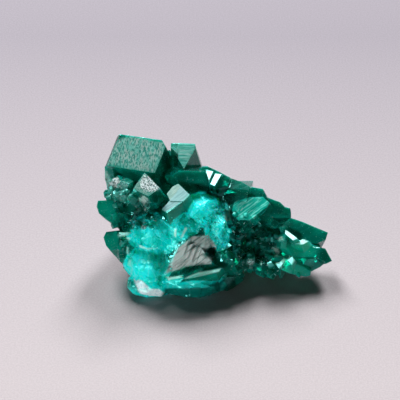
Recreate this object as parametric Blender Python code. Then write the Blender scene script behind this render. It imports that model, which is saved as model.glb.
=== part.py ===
"""A hand specimen of dioptase: emerald-green crystals grown together on a broken, glassy turquoise mass.

The cluster has +Z up, with the origin under the middle of its bounding box, on the plane it rests on. Its
crystals are laid out on the specimen's broad front, which leans back: u runs to the right, v up the front and
w straight out of it. Every length below is in millimetres, and the finished mesh is in metres.
"""

import math
import random

import bmesh
import bpy
from mathutils import Matrix, Vector
from mathutils.bvhtree import BVHTree

# Driving dimensions
MM = 0.001
LEAN = math.radians(35.0)  # how far w points above the horizon
CENTRING = Vector((-0.1, -1.02, 0.0))  # brings the middle of the base to the origin

# Dioptase's habit: a six-sided prism, alternate edges of which end in three steep tip faces
TIP_TILT = math.radians(51.0)  # from the crystal's long axis to a tip face's normal
PRISM_OFFSET = math.radians(30.0)  # from a tip face round to the next prism face
TIP_FACES = 3
PRISM_FACES = 6

STOCK = 60.0  # half the cube that each crystal is cut from
WELD = 1e-5

# How the small crystals vary
WANDER = 0.55  # how far each leans out of true
FACING = 0.5  # how far each leans back toward the eye
SIZES = (0.75, 1.3)  # times the girth of its patch
RISES = (0.9, 1.5)  # how far its tip stands out, times its size
FLATS = (0.75, 1.1)  # each prism face's radius, times its size
ROOT = 2.0  # how far it goes in, times its size

EMERALD = (0.004, 0.13, 0.085, 1.0)
EMERALD_ROUGHNESS = 0.12


def layout_axes():
    """The matrix that turns u, v and w into X, Y and Z."""
    u = Vector((1.0, 0.0, 0.0))
    v = Vector((0.0, math.sin(LEAN), math.cos(LEAN)))
    w = Vector((0.0, -math.cos(LEAN), math.sin(LEAN)))
    return Matrix((u, v, w)).transposed()


LAYOUT = layout_axes()


def place(point):
    """A layout point in X, Y and Z."""
    return LAYOUT @ Vector(point)


def turn(direction):
    """A layout direction in X, Y and Z, of unit length."""
    return (LAYOUT @ Vector(direction)).normalized()


def cut_from_planes(planes):
    """The convex solid behind every (point, outward normal) plane."""
    bm = bmesh.new()
    bmesh.ops.create_cube(bm, size=2 * STOCK)
    for point, normal in planes:
        everything = bm.verts[:] + bm.edges[:] + bm.faces[:]
        cut = bmesh.ops.bisect_plane(
            bm, geom=everything, dist=WELD, plane_co=point, plane_no=normal, clear_outer=True
        )
        rim = [g for g in cut["geom_cut"] if isinstance(g, bmesh.types.BMEdge)]
        if rim:
            bmesh.ops.contextual_create(bm, geom=rim)
    bmesh.ops.recalc_face_normals(bm, faces=bm.faces)
    return bm


def crystal_at(point, along, across, girth, length, thick=(STOCK, STOCK, STOCK)):
    """A crystal in X, Y and Z, with its tip at point, along its long axis and one tip face turned to across.

    girth is one radius, or six, from the prism face after that tip face. length runs to the flat root. thick
    is how far behind each tip face the crystal ends in a parallel one, which makes a stout crystal cube-like.
    """
    along = along.normalized()
    across = (across - along * across.dot(along)).normalized()
    side = along.cross(across)
    radii = girth if isinstance(girth, tuple) else (girth,) * PRISM_FACES
    planes = []
    for k in range(TIP_FACES):
        angle = math.tau * k / TIP_FACES
        outward = across * math.cos(angle) + side * math.sin(angle)
        normal = along * math.cos(TIP_TILT) + outward * math.sin(TIP_TILT)
        planes.append((point, normal))
        planes.append((point - normal * thick[k], -normal))
    for k in range(PRISM_FACES):
        angle = PRISM_OFFSET + math.tau * k / PRISM_FACES
        outward = across * math.cos(angle) + side * math.sin(angle)
        planes.append((point + outward * radii[k], outward))
    planes.append((point - along * length, -along))
    return cut_from_planes(planes)


def crystal(tip, along, across, girth, length, thick=(STOCK, STOCK, STOCK)):
    """A crystal laid out in u, v and w."""
    return crystal_at(place(tip), turn(along), turn(across), girth, length, thick)


def block(face, looks, out, falls, depth):
    """A crystal known by its main face, whose corners are given as (u, v), counter-clockwise.

    looks is the way the face looks, and out is w at its first corner. falls says by how many degrees each side
    turns away from the face, as one angle or one for each edge. depth is how far the crystal goes in.
    """
    normal = Vector(looks).normalized()
    start = Vector((*face[0], out))
    corners = []
    for u, v in face:
        rise = normal.x * (u - start.x) + normal.y * (v - start.y)
        corners.append(Vector((u, v, out - rise / normal.z)))
    angles = falls if isinstance(falls, tuple) else (falls,) * len(corners)
    planes = [(place(start), turn(normal)), (place(start - normal * depth), turn(-normal))]
    for i, corner in enumerate(corners):
        edge = (corners[(i + 1) % len(corners)] - corner).normalized()
        outward = edge.cross(normal)
        fall = math.radians(angles[i])
        planes.append((place(corner), turn(normal * math.cos(fall) + outward * math.sin(fall))))
    return cut_from_planes(planes)


def lump(centre, radii, seed, corners=24, roughness=0.12):
    """A broken lump, laid out in u, v and w: the hull of corners scattered over an ellipsoid."""
    draw = random.Random(seed)
    golden = math.pi * (3.0 - math.sqrt(5.0))
    bm = bmesh.new()
    for i in range(corners):
        height = 1.0 - 2.0 * (i + 0.5) / corners
        ring = math.sqrt(1.0 - height * height)
        angle = golden * i + draw.uniform(-0.3, 0.3)
        push = 1.0 + draw.uniform(-roughness, roughness)
        spot = (ring * math.cos(angle), ring * math.sin(angle), height)
        bm.verts.new(place([c + s * r * push for c, s, r in zip(centre, spot, radii)]))
    hull = bmesh.ops.convex_hull(bm, input=bm.verts)
    inner = {g for g in hull["geom_interior"] + hull["geom_unused"] if isinstance(g, bmesh.types.BMVert)}
    bmesh.ops.delete(bm, geom=list(inner), context="VERTS")
    bmesh.ops.recalc_face_normals(bm, faces=bm.faces)
    return bm


def body():
    """The broken mass that the crystals stand on."""
    return [
        lump((-3.5, 3.0, 2.8), (9.0, 6.4, 7.6), 1, corners=40),
        lump((-9.2, 1.4, 3.8), (4.1, 4.6, 5.2), 2, corners=32),
        lump((-6.2, -1.6, 4.2), (5.8, 3.6, 5.0), 7, corners=40, roughness=0.06),
        lump((1.5, 0.6, 4.6), (4.8, 3.4, 4.8), 8, corners=32),
        lump((0.0, -2.2, 4.4), (4.4, 2.4, 4.0), 9, corners=32, roughness=0.06),
        lump((7.0, 2.0, 1.6), (6.4, 3.8, 4.8), 3, corners=32),
        lump((-10.0, 9.0, 3.0), (4.6, 4.6, 5.4), 4, corners=32),
        lump((3.5, 6.0, 1.8), (6.2, 4.2, 5.4), 5, corners=32),
        lump((-3.0, 8.4, -1.5), (6.4, 5.0, 5.5), 6, corners=32),
    ]


def upper_crystals():
    """The big blocky crystal at the upper left, its small neighbours, and the one behind it."""
    return [
        # the biggest crystal, nearly a cube, its tip toward the front
        crystal(
            (-8.43, 12.97, 9.33),
            (0.196, -0.303, 0.933),
            (-0.456, 0.814, 0.360),
            (5.45, 5.6, 6.0, 6.0, 3.25, 6.0),
            12.0,
            thick=(7.4, 5.25, 7.9),
        ),
        # the narrow side that shows at its lower left
        block(
            [(-15.8, 13.9), (-15.8, 12.0), (-15.3, 10.4), (-13.9, 10.2), (-14.6, 13.6)],
            (-0.55, -0.25, 0.8),
            6.0,
            (88, 88, 80, 70, 80),
            4.0,
        ),
        # the crystal behind its right shoulder
        block(
            [(-5.1, 17.3), (-5.1, 15.0), (-4.3, 13.6), (-2.6, 16.6), (-2.7, 17.2)],
            (-0.1, 0.5, 0.86),
            6.2,
            (85, 65, 76, 85, 95),
            6.0,
        ),
        # a low bright facet between those two
        block(
            [(-6.2, 16.7), (-5.0, 15.6), (-5.0, 17.3), (-6.2, 17.3)],
            (0.1, 0.6, 0.8),
            6.0,
            (90, 80, 80, 95),
            3.0,
        ),
        # the small cube that leans on the big crystal's front
        block(
            [(-9.9, 13.0), (-11.5, 10.7), (-9.3, 9.6), (-7.7, 10.8)],
            (-0.1, 0.45, 0.88),
            10.6,
            (80, 85, 85, 80),
            3.6,
        ),
        # the smooth dark crystal under the big one's right side
        block(
            [(-5.9, 12.6), (-4.9, 11.4), (-3.4, 10.1), (-1.2, 10.0), (-0.7, 11.3), (-1.4, 13.2), (-4.9, 13.3)],
            (0.1, 0.0, 1.0),
            9.0,
            (75, 70, 75, 70, 75, 80, 75),
            5.0,
        ),
        block(
            [(-2.1, 13.9), (-0.8, 12.0), (-0.2, 10.6), (2.1, 11.0), (2.4, 12.3), (0.5, 13.3), (-0.8, 13.9)],
            (0.05, 0.35, 0.93),
            7.4,
            (60, 60, 60, 70, 90, 92, 92),
            5.0,
        ),
    ]


def ridge_crystals():
    """The row that steps down along the skyline to the right."""
    return [
        block(
            [(2.0, 12.4), (2.0, 10.8), (5.0, 10.6), (5.2, 11.0), (4.0, 11.7)],
            (0.0, 0.75, 0.66),
            6.4,
            (80, 60, 90, 60, 60),
            4.0,
        ),
        block(
            [(-0.2, 10.6), (1.2, 9.1), (2.7, 8.6), (3.9, 9.2), (5.4, 9.7), (5.4, 10.8), (2.6, 10.8)],
            (0.1, -0.25, 0.96),
            8.0,
            (65, 70, 70, 70, 80, 92, 92),
            5.0,
        ),
        block([(5.4, 11.0), (5.4, 9.4), (7.7, 9.5), (7.1, 10.7)], (0.1, 0.4, 0.9), 6.6, (75, 65, 70, 92), 5.0),
        block(
            [(7.7, 9.5), (8.3, 6.6), (10.2, 6.6), (10.3, 8.1), (9.6, 8.8)],
            (0.25, 0.25, 0.93),
            6.2,
            (70, 65, 75, 88, 92),
            5.0,
        ),
        block(
            [(10.3, 8.1), (10.2, 6.6), (11.2, 6.6), (11.2, 7.3), (11.1, 7.9)],
            (0.3, 0.3, 0.9),
            5.4,
            (75, 70, 88, 92, 92),
            5.0,
        ),
        block(
            [(2.7, 8.5), (3.9, 6.7), (5.5, 6.0), (7.1, 7.2), (8.1, 8.6), (7.1, 9.5), (5.4, 9.5), (3.9, 9.2)],
            (0.1, 0.4, 0.9),
            8.4,
            (72, 72, 76, 68, 75, 60, 60, 60),
            5.0,
        ),
    ]


def right_arm():
    """The low crystals that reach out to the right."""
    return [
        block(
            [
                (10.3, 5.9),
                (10.3, 4.8),
                (12.1, 3.2),
                (14.9, 2.8),
                (16.2, 3.4),
                (16.5, 4.4),
                (12.7, 6.0),
                (11.2, 6.5),
            ],
            (0.05, 0.1, 0.99),
            6.2,
            (60, 60, 62, 75, 92, 92, 92, 80),
            4.0,
        ),
        block(
            [(9.6, 3.1), (11.5, 0.9), (14.9, 0.9), (15.3, 2.2), (13.7, 2.8), (11.4, 2.8)],
            (0.05, -0.05, 1.0),
            7.2,
            (60, 60, 84, 82, 60, 60),
            4.0,
        ),
        block(
            [(15.3, 2.2), (15.0, 0.7), (16.3, -0.1), (17.1, 0.3), (16.1, 2.1)],
            (0.3, 0.0, 0.95),
            6.8,
            (60, 75, 92, 92, 85),
            4.0,
        ),
        block(
            [(9.7, -0.9), (10.9, -1.5), (13.9, -2.1), (14.0, -1.2), (12.7, -0.4), (11.2, 0.0)],
            (0.1, -0.3, 0.95),
            7.4,
            (70, 80, 80, 60, 60, 60),
            4.0,
        ),
        block(
            [(12.7, -0.4), (14.0, -1.3), (15.4, -0.6), (16.1, 0.0), (15.0, 0.7), (13.4, 0.5)],
            (0.35, -0.35, 0.87),
            6.9,
            (70, 88, 88, 84, 80, 70),
            4.0,
        ),
    ]


def left_crystals():
    """The two blunt tips at the left."""
    return [
        block(
            [
                (-16.7, 9.0),
                (-16.9, 8.2),
                (-16.5, 7.0),
                (-15.5, 6.3),
                (-14.3, 5.3),
                (-13.6, 5.9),
                (-13.4, 8.2),
                (-14.0, 9.1),
            ],
            (-0.2, 0.1, 0.97),
            6.8,
            (92, 90, 85, 82, 70, 65, 70, 85),
            4.5,
        ),
        block(
            [(-15.5, 4.5), (-15.9, 3.7), (-15.5, 2.5), (-14.9, 1.8), (-13.7, 2.1), (-13.6, 3.8), (-14.0, 4.7)],
            (-0.3, 0.1, 0.95),
            7.2,
            (92, 90, 80, 70, 65, 65, 85),
            4.5,
        ),
    ]


def small_cluster():
    """The druse of little crystals between the big crystal and the left tip."""
    return [
        crystal((-14.6, 11.8, 8.2), (-0.3, 0.2, 0.93), (-0.2, 0.95, 0.2), 0.85, 4.0),
        crystal((-13.2, 12.0, 9.0), (0.1, 0.35, 0.93), (0.5, 0.85, 0.0), 0.95, 4.0),
        crystal((-12.2, 11.4, 9.6), (0.25, 0.1, 0.96), (0.1, 0.95, 0.2), 0.9, 4.0),
        crystal((-14.3, 9.9, 8.6), (-0.35, -0.1, 0.93), (0.2, 0.95, 0.2), 1.0, 4.0),
        crystal((-12.6, 9.7, 9.8), (0.05, -0.1, 0.99), (-0.4, 0.9, 0.0), 1.05, 4.0),
        crystal((-11.2, 9.0, 10.2), (0.2, -0.25, 0.95), (0.3, 0.9, 0.2), 0.8, 4.0),
        crystal((-15.9, 10.2, 6.8), (-0.85, 0.25, 0.45), (0.2, 0.9, 0.2), 0.62, 3.4),
        crystal((-15.6, 9.4, 7.3), (-0.7, -0.1, 0.7), (0.1, 0.9, 0.2), 0.55, 3.4),
    ]


def wedge_layers():
    """The steps in which the wedge broke: thin slabs along its length, each a little lower than the last."""
    layers = []
    for k in range(5):
        across = Vector((0.46, -0.76)) * (k - 1.7) * 0.62
        low = Vector((-5.5 + 0.25 * k, -0.7)) + across
        high = Vector((-3.1 + 0.3 * k, 2.7)) + across
        middle = (low + high) / 2
        face = (low, middle + Vector((0.5, -0.42)), high, middle + Vector((-0.34, 0.4)))
        layers.append(block([tuple(c) for c in face], (-0.35, 0.35, 0.87), 11.75 - 0.1 * k, 82, 1.2))
    return layers


def broken_front():
    """The fractured turquoise mass: swollen lobes, a layered wedge, ledges and pale plates."""
    plate = (-0.16, 0.6, 0.785)
    return [
        lump((-1.4, 7.4, 7.0), (3.2, 2.8, 3.4), 21, corners=36),
        lump((0.3, 4.6, 7.0), (2.2, 3.0, 3.4), 25, corners=32),
        lump((-4.6, 5.4, 7.0), (3.2, 2.6, 3.6), 26, corners=32),
        lump((-8.2, 4.0, 6.6), (4.2, 3.0, 3.8), 22, corners=36),
        lump((-9.6, -0.4, 6.6), (3.1, 3.3, 4.0), 23, corners=36),
        lump((-12.3, 2.2, 5.6), (2.2, 2.6, 3.0), 27, corners=26),
        lump((-3.6, -2.7, 6.6), (5.2, 2.4, 3.2), 24, corners=36),
        lump((-9.2, -3.1, 6.8), (3.6, 2.0, 2.6), 28, corners=28, roughness=0.06),
        block(
            [(-5.9, 11.0), (-6.7, 10.0), (-6.2, 8.9), (-4.3, 8.9), (-3.4, 9.8), (-5.1, 11.4)],
            plate,
            9.6,
            (85, 85, 80, 80, 80, 85),
            3.0,
        ),
        block([(-6.2, 9.1), (-7.4, 7.8), (-6.7, 7.2), (-4.5, 8.8)], plate, 10.9, (80, 85, 80, 80), 3.0),
        # the layered wedge, its ledge below and the broken step at its upper end
        block(
            [
                (-6.8, -1.5),
                (-5.2, -1.3),
                (-2.6, 0.0),
                (-0.5, 0.6),
                (-1.5, 1.8),
                (-2.7, 4.1),
                (-4.0, 3.2),
                (-5.2, 0.6),
            ],
            (-0.2, 0.35, 0.91),
            11.2,
            (85, 75, 75, 75, 75, 75, 70, 70),
            3.0,
        ),
        block([(-3.6, 4.0), (-2.6, 2.6), (-0.5, 2.6), (-1.0, 3.8)], (0.1, 0.2, 0.97), 10.6, 70, 3.0),
        block(
            [(-4.2, -2.1), (0.4, -1.5), (1.1, -0.6), (-2.0, -1.0)],
            (-0.1, 0.5, 0.86),
            10.9,
            (84, 80, 80, 75),
            1.6,
        ),
    ] + wedge_layers()


def back_crystals():
    """The stout crystals behind the front, placed in X, Y and Z."""
    return [
        crystal_at(Vector(tip), Vector(along), Vector(across), girth, length)
        for tip, along, across, girth, length in (
            ((-1.5, 11.0, 8.4), (0.1, 0.8, 0.6), (1.0, 0.2, 0.0), 3.0, 9.0),
            ((-10.6, 9.8, 7.2), (-0.55, 0.75, 0.3), (0.2, 0.3, 1.0), 2.6, 8.0),
            ((5.6, 8.8, 6.6), (0.45, 0.8, 0.4), (0.5, 0.0, 1.0), 2.5, 8.0),
            ((-14.6, 4.4, 8.6), (-0.9, 0.4, 0.1), (0.0, 0.3, 1.0), 2.2, 8.0),
            ((11.6, 4.4, 3.8), (0.85, 0.5, 0.15), (0.0, 0.3, 1.0), 1.9, 7.0),
            ((-5.0, 11.4, 5.6), (-0.15, 0.95, -0.1), (1.0, 0.0, 0.4), 2.3, 7.0),
            ((2.6, 10.6, 4.6), (0.3, 0.9, -0.15), (0.0, 0.2, 1.0), 2.1, 7.0),
            ((1.0, 8.4, 8.8), (0.25, 0.6, 0.75), (1.0, 0.2, 0.0), 2.3, 7.0),
            ((-6.4, 8.4, 14.2), (0.1, 0.75, 0.65), (1.0, 0.0, 0.3), 2.4, 7.0),
            ((8.6, -6.2, 2.6), (0.3, -0.9, 0.1), (0.0, 0.3, 1.0), 1.5, 6.0),
        )
    ]


def solid_surface(pieces):
    """The pieces' outsides together, as one tree that rays can meet."""
    corners = []
    faces = []
    for bm in pieces:
        bm.verts.index_update()
        first = len(corners)
        corners.extend(v.co.copy() for v in bm.verts)
        faces.extend([first + v.index for v in face.verts] for face in bm.faces)
    return BVHTree.FromPolygons(corners, faces)


def sprout(surface, source, aim, girth, draw):
    """A small crystal where the ray from source along aim meets the surface, leaning a little out of true."""
    spot, normal, _, _ = surface.ray_cast(source, aim)
    if spot is None:
        return None
    if normal.dot(aim) > 0.0:
        normal = -normal
    wander = Vector((draw.uniform(-1, 1), draw.uniform(-1, 1), draw.uniform(-1, 1)))
    along = (normal - aim * FACING + wander * WANDER).normalized()
    across = Vector((draw.uniform(-1, 1), draw.uniform(-1, 1), draw.uniform(-1, 1)))
    size = girth * draw.uniform(*SIZES)
    rise = size * draw.uniform(*RISES)
    radii = tuple(size * draw.uniform(*FLATS) for _ in range(PRISM_FACES))
    return crystal_at(spot + along * rise, along, across, radii, rise + size * ROOT)


def front_at(surface, u, v):
    """How far out, as w, the front is at u and v."""
    spot, _, _, _ = surface.ray_cast(place((u, v, STOCK / 2)), turn((0, 0, -1)))
    return spot.dot(turn((0, 0, 1)))


def bright_facets(surface):
    """Small flat facets that all look up and back, the way that makes them flash together."""
    flash = (-0.16, 0.6, 0.785)
    facets = []
    for face in (
        [(-1.2, 13.5), (-0.7, 11.9), (-0.1, 13.2)],
        [(0.2, 12.9), (-0.5, 11.4), (0.1, 11.1), (1.1, 12.8)],
        [(10.3, 4.8), (10.3, 4.2), (11.4, 3.3), (12.1, 3.5), (10.8, 4.5)],
        [(11.2, 2.8), (12.7, 2.6), (13.7, 3.2), (13.0, 3.5)],
        [(9.2, 3.2), (10.3, 3.4), (9.7, 4.0)],
        [(8.8, -0.1), (9.5, -0.9), (10.3, 0.3), (9.4, 0.9)],
        [(10.6, 0.4), (11.2, -0.3), (11.8, 0.3), (11.3, 1.0)],
        [(-13.7, 4.1), (-12.1, 4.0), (-11.8, 4.4), (-13.6, 4.5)],
        [(-13.4, 2.4), (-12.9, 2.0), (-12.0, 3.4), (-12.6, 3.6)],
    ):
        u, v = face[0]
        facets.append(block(face, flash, front_at(surface, u, v) + 0.35, 78, 1.6))
    return facets


def front_sprouts(surface):
    """Small crystals in the dark hollows of the front, by patches of the layout."""
    draw = random.Random(7)
    aim = turn((0, 0, -1))
    found = []
    for low, high, spacing, girth in (
        ((1.8, -1.2), (9.6, 5.8), 1.45, 0.75),
        ((-13.8, 5.2), (-7.4, 8.8), 1.3, 0.6),
        ((-13.4, 0.4), (-11.4, 4.6), 1.3, 0.6),
        ((5.2, -2.2), (10.4, -0.8), 1.5, 0.7),
    ):
        columns = max(1, round((high[0] - low[0]) / spacing))
        rows = max(1, round((high[1] - low[1]) / spacing))
        for i in range(columns + 1):
            for j in range(rows + 1):
                u = low[0] + (high[0] - low[0]) * i / columns + draw.uniform(-0.4, 0.4) * spacing
                v = low[1] + (high[1] - low[1]) * j / rows + draw.uniform(-0.4, 0.4) * spacing
                found.append(sprout(surface, place((u, v, STOCK / 2)), aim, girth, draw))
    return [bm for bm in found if bm]


def back_sprouts(surface):
    """Small crystals over the sides, the top and the back, by compass direction and height."""
    draw = random.Random(11)
    front = turn((0, 0, 1))
    found = []
    for height, count, girth in ((2.5, 16, 1.0), (5.5, 14, 1.2), (8.5, 11, 1.1), (11.5, 8, 1.0)):
        for i in range(count):
            angle = math.radians(-25.0 + 230.0 * (i + draw.uniform(0.2, 0.8)) / count)
            outward = Vector((math.cos(angle), math.sin(angle), draw.uniform(0.0, 0.3))).normalized()
            middle = Vector((-1.0 + draw.uniform(-5, 5), 0.0, height + draw.uniform(-1, 1)))
            grown = sprout(surface, middle + outward * STOCK / 2, -outward, girth, draw)
            if grown and all(surface.ray_cast(v.co, front)[0] for v in grown.verts):
                found.append(grown)
    return found


def pits(surface):
    """The small dark hollows broken into the front."""
    hollows = []
    for (u, v), (wide, high), seed in (
        ((-0.3, 1.7), (0.8, 0.9), 31),
        ((-10.3, 2.9), (0.35, 0.45), 32),
        ((-4.3, 6.9), (0.4, 0.3), 33),
    ):
        out = front_at(surface, u, v)
        hollows.append(lump((u, v, out - 0.2), (wide, high, 1.4), seed, corners=14))
    return hollows


def underside():
    """Wedges of space under the cluster's edges, so that it rests on the middle of its broken base."""
    spaces = []
    for point, direction in (
        ((0.0, -6.0, 0.0), (0.05, -0.12, -0.99)),
        ((-11.0, 0.0, 0.0), (-0.45, -0.05, -0.89)),
        ((4.5, 0.0, 0.0), (0.2, -0.06, -0.98)),
        ((0.0, 4.0, 0.0), (0.1, 0.4, -0.9)),
    ):
        outward = Vector(direction).normalized()
        spaces.append(cut_from_planes([(Vector(point), -outward)]))
    level = bmesh.new()
    bmesh.ops.create_cube(level, size=2 * STOCK)
    bmesh.ops.translate(level, verts=level.verts, vec=(0.0, 0.0, -STOCK))
    return spaces + [level]


def as_object(name, bm, collection):
    """Hands a finished bmesh, in millimetres, to a new object in metres."""
    bm.transform(Matrix.Scale(MM, 4))
    mesh = bpy.data.meshes.new(name)
    bm.to_mesh(mesh)
    bm.free()
    obj = bpy.data.objects.new(name, mesh)
    collection.objects.link(obj)
    return obj


def boolean(obj, name, operation, pieces):
    """Joins the pieces to obj, or takes them from it. It returns the collection that holds them."""
    operands = bpy.data.collections.new(name)
    bpy.context.scene.collection.children.link(operands)
    for i, bm in enumerate(pieces):
        as_object(f"{name}_{i:03d}", bm, operands)
    modifier = obj.modifiers.new(name, "BOOLEAN")
    modifier.operation = operation
    modifier.solver = "EXACT"
    modifier.operand_type = "COLLECTION"
    modifier.collection = operands
    return operands


def outer_shell(mesh):
    """Drops the small closed gaps that crystals leave between them inside the cluster."""
    bm = bmesh.new()
    bm.from_mesh(mesh)
    unseen = set(bm.verts)
    shells = []
    while unseen:
        shell = [unseen.pop()]
        for vert in shell:
            near = {edge.other_vert(vert) for edge in vert.link_edges} & unseen
            unseen -= near
            shell.extend(near)
        shells.append(shell)
    shells.sort(key=len)
    for shell in shells[:-1]:
        bmesh.ops.delete(bm, geom=shell, context="VERTS")
    bm.to_mesh(mesh)
    bm.free()


def emerald():
    """Glassy dark emerald green."""
    material = bpy.data.materials.new("emerald_green")
    material.use_nodes = True
    shader = material.node_tree.nodes["Principled BSDF"]
    shader.inputs["Base Color"].default_value = EMERALD
    shader.inputs["Roughness"].default_value = EMERALD_ROUGHNESS
    shader.inputs["Metallic"].default_value = 0.0
    material.diffuse_color = EMERALD
    return material


def grow_together(pieces, hollows):
    """One closed solid from all the pieces, less the hollows."""
    growing = as_object("growing", pieces[0], bpy.context.scene.collection)
    used = [
        boolean(growing, "grown", "UNION", pieces[1:]),
        boolean(growing, "broken", "DIFFERENCE", hollows),
    ]
    mesh = bpy.data.meshes.new_from_object(growing.evaluated_get(bpy.context.evaluated_depsgraph_get()))
    bpy.data.objects.remove(growing)
    for collection in used:
        for obj in list(collection.objects):
            bpy.data.objects.remove(obj)
        bpy.data.collections.remove(collection)
    outer_shell(mesh)
    return mesh


def main():
    for obj in list(bpy.data.objects):
        bpy.data.objects.remove(obj)

    pieces = body() + upper_crystals() + ridge_crystals() + right_arm()
    pieces += left_crystals() + small_cluster() + broken_front() + back_crystals()
    surface = solid_surface(pieces)
    pieces += bright_facets(surface) + front_sprouts(surface) + back_sprouts(surface)

    mesh = grow_together(pieces, pits(surface) + underside())
    mesh.name = "dioptase_cluster"
    mesh.transform(Matrix.Translation(CENTRING * MM))
    cluster = bpy.data.objects.new("dioptase_cluster", mesh)
    bpy.context.scene.collection.objects.link(cluster)
    mesh.materials.clear()
    mesh.materials.append(emerald())


main()
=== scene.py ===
"""The finish of a dioptase specimen: etched and glassy emerald crystals on a shattered turquoise mass.

Lengths inside the functions are in millimetres unless they say otherwise. Every finished mesh is in metres.
The specimen's broad front leans back. Places on it are given as u to the right, v up the front and w out
of it, toward the viewer.
"""

import math

import bmesh
import bpy
import numpy as np
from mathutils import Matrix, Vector, noise


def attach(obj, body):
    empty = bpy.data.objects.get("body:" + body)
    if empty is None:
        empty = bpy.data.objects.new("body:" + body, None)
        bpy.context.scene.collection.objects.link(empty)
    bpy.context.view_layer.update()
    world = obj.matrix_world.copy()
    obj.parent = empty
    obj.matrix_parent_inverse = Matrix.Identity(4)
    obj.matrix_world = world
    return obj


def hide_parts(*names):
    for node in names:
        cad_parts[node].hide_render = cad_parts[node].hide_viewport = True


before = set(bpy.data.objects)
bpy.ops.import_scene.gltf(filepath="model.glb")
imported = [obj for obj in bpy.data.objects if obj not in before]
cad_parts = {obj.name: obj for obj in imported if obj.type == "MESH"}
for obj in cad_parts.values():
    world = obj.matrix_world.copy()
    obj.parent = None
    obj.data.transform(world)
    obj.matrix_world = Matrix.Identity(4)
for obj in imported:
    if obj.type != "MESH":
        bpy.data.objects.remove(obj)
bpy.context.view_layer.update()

bl_info = {
    "name": "Dioptase specimen",
    "version": (1, 0, 0),
    "blender": (4, 5, 0),
    "location": "3D View > Sidebar > Dioptase",
    "description": "Finishes a cluster of dioptase crystals and sets it on a plain stage",
    "category": "Object",
}

MM = 0.001
TINY = 1e-12  # keeps a division by a length from failing
BODY = "root"
NODE = "dioptase_cluster"

# The mesh
WELD = 0.002  # corners of the solid that are nearer than this are one
FLAT = 0.01  # faces that turn less than this from each other, in radians, are one facet
SHARP = math.radians(24.0)  # faces that turn more than this keep a crisp edge between them
PLAIN_EDGES = 2.0  # length of the longest edges on plain crystals, times the look's detail
GRAIN_EDGES = 0.9  # the same where the grain runs
BACK_EDGES = 4.5  # the same on faces that the front hides
HIDDEN = -0.1  # how squarely a face looks at the viewer before it counts as the front
CREASE = (0.02, 0.08)  # 1 - cosine of the faces' turn from their mean, where an edge begins and is whole

# The finishes
NEAR = 6.0  # how far behind the foremost point a finish still reaches
FEATHER = 0.1  # half the width over which a finish begins
FINISH_SPREAD = 20.0  # how far, in degrees, a face may look from a finish's own way
GRAIN_FEATHER = 0.01  # the same two for the mineral's grain
GRAIN_SPREAD = 25.0
LOBE_RIM = (0.92, 1.14)  # where the turquoise of a lobe fades, as shares of its radii
FAINT = 0.05  # a smaller share of turquoise counts as none

# The relief
TRACE = 0.01  # a smaller share adds no relief
UNEVEN_HEIGHT = 0.012  # waves of the crystal faces
RIB_HEIGHT = 0.05  # ribs along the grain
PIT_HEIGHT = 0.02  # pits of the etched faces
BUMP_HEIGHT = 0.025  # the finest relief, which the material draws

# The mineral
REFRACTION = 1.66
SHEEN = (0.2, 1.0, 0.93, 1.0)  # what colour it mirrors
SCATTER = (0.05, 1.0, 0.8)  # how far red, green and blue light wander under the surface, as shares
SCATTER_DEPTH = 2.5

# The leaning front
LEAN = math.radians(35.0)  # how far w points above the horizon
CENTRING = np.array((-0.1, -1.02, 0.0))  # from the front's own origin to the middle of the base
AXES = np.array(
    (
        (1.0, 0.0, 0.0),
        (0.0, math.sin(LEAN), math.cos(LEAN)),
        (0.0, -math.cos(LEAN), math.sin(LEAN)),
    )
)  # u, v and w as rows
OUTWARD = (0, 0, 1)  # straight out of the front, in u, v and w
FLASH = (-0.16, 0.6, 0.785)  # the way the cleavage facets that flash look, in u, v and w

# The photograph's framing
FRAME_WIDTH = 58.64  # what the camera sees across, at the specimen
VIEW_MIDDLE = (-1.979, 9.089)  # the picture's middle, in u and v
CAMERA_DISTANCE = 400.0
SENSOR = 36.0
NEAR_CLIP = 0.01  # in metres


def from_front(points):
    """Points in X, Y and Z, in millimetres, as u, v and w."""
    return (points - CENTRING) @ AXES.T


def to_world(point):
    """One u, v and w point in X, Y and Z, in millimetres."""
    return np.asarray(point) @ AXES + CENTRING


def turned(direction):
    """A u, v and w direction in X, Y and Z, of unit length."""
    vector = np.asarray(direction) @ AXES
    return vector / np.linalg.norm(vector)


def unit(vectors):
    """Each vector at unit length."""
    return vectors / np.maximum(np.linalg.norm(vectors, axis=1), TINY)[:, None]


def smoothstep(low, high, value):
    """A soft step from 0 at low to 1 at high."""
    share = np.clip((value - low) / (high - low), 0.0, 1.0)
    return share * share * (3.0 - 2.0 * share)


def depth_inside(points, outline):
    """How far each (u, v) point is inside an outline: negative outside."""
    inside = np.zeros(len(points), bool)
    nearest = np.full(len(points), np.inf)
    corners = np.asarray(outline, float)
    for start, end in zip(corners, np.roll(corners, -1, axis=0)):
        run = end - start
        away = points - start
        along = np.clip(away @ run / (run @ run), 0.0, 1.0)
        nearest = np.minimum(nearest, np.linalg.norm(away - along[:, None] * run, axis=1))
        spans = (start[1] > points[:, 1]) != (end[1] > points[:, 1])
        if run[1] != 0.0:
            crossing = start[0] + (points[:, 1] - start[1]) * run[0] / run[1]
            inside ^= spans & (points[:, 0] < crossing)
    return np.where(inside, nearest, -nearest)


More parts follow.
